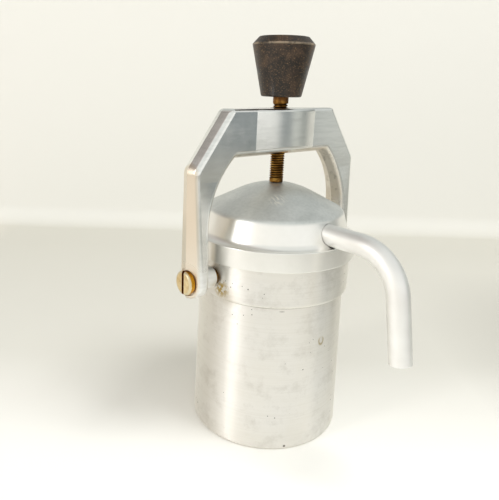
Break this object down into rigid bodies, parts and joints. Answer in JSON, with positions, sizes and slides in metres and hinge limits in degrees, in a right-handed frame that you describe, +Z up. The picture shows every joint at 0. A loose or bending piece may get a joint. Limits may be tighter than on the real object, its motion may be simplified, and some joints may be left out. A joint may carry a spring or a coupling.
{
  "type": "stovetop espresso maker",
  "caption": "Stovetop espresso maker: turned pot, domed lid with a bent spout, and a pivoting clamp yoke whose screw presses the lid down over a filter basket.",
  "frame": {"origin": "centre of the pot's flat base", "axes": "+Z up along the pot's axis, X along the yoke's pivot axis, -Y towards the spout"},
  "size_m": [0.098, 0.1083, 0.1693],
  "materials": {
    "pot_aluminium": "satin turned",
    "lid_aluminium": "satin",
    "spout_aluminium": "polished satin",
    "yoke_aluminium": "polished casting",
    "basket_aluminium": "spun",
    "spindle_brass": "tarnished",
    "screw_brass": "worn",
    "gasket_rubber": "matte",
    "knob_plastic": "worn moulded"
  },
  "bodies": {
    "pot": {"boiler_pot": "pot_aluminium", "filter_basket": "basket_aluminium", "lower_sieve": "basket_aluminium", "riser_tube": "basket_aluminium", "pivot_screw_left": "screw_brass", "pivot_screw_right": "screw_brass", "pivot_washer_left": "screw_brass", "pivot_washer_right": "screw_brass"},
    "lid": {"lid_dome": "lid_aluminium", "spout_tube": "spout_aluminium", "upper_sieve": "basket_aluminium", "lid_gasket": "gasket_rubber"},
    "yoke": {"yoke": "yoke_aluminium", "yoke_bush": "spindle_brass"},
    "foot": {"spindle_foot": "spindle_brass"},
    "spindle": {"clamp_spindle": "spindle_brass", "knob_insert": "spindle_brass", "knob": "knob_plastic"}
  },
  "joints": [
    {"name": "yoke_swing", "type": "hinge", "parent": "pot", "child": "yoke", "pos_m": [0, 0, 0.0744], "axis": [1, 0, 0], "range_deg": [-25, 25]},
    {"name": "spindle_travel", "type": "slide", "parent": "yoke", "child": "foot", "axis": [0, 0, 1], "range_m": [0, 0.0101]},
    {"name": "spindle_turn", "type": "hinge", "parent": "foot", "child": "spindle", "pos_m": [0, 0, 0.12], "axis": [0, 0, 1], "range_deg": [0, 3600]},
    {"name": "lid_turn", "type": "hinge", "parent": "pot", "child": "lid", "pos_m": [0, 0, 0.085], "axis": [0, 0, 1], "range_deg": [-55, 55]}
  ],
  "couplings": [
    {"joint": "spindle_travel", "follows": "spindle_turn", "m_per_rad": 0.00015915}
  ]
}
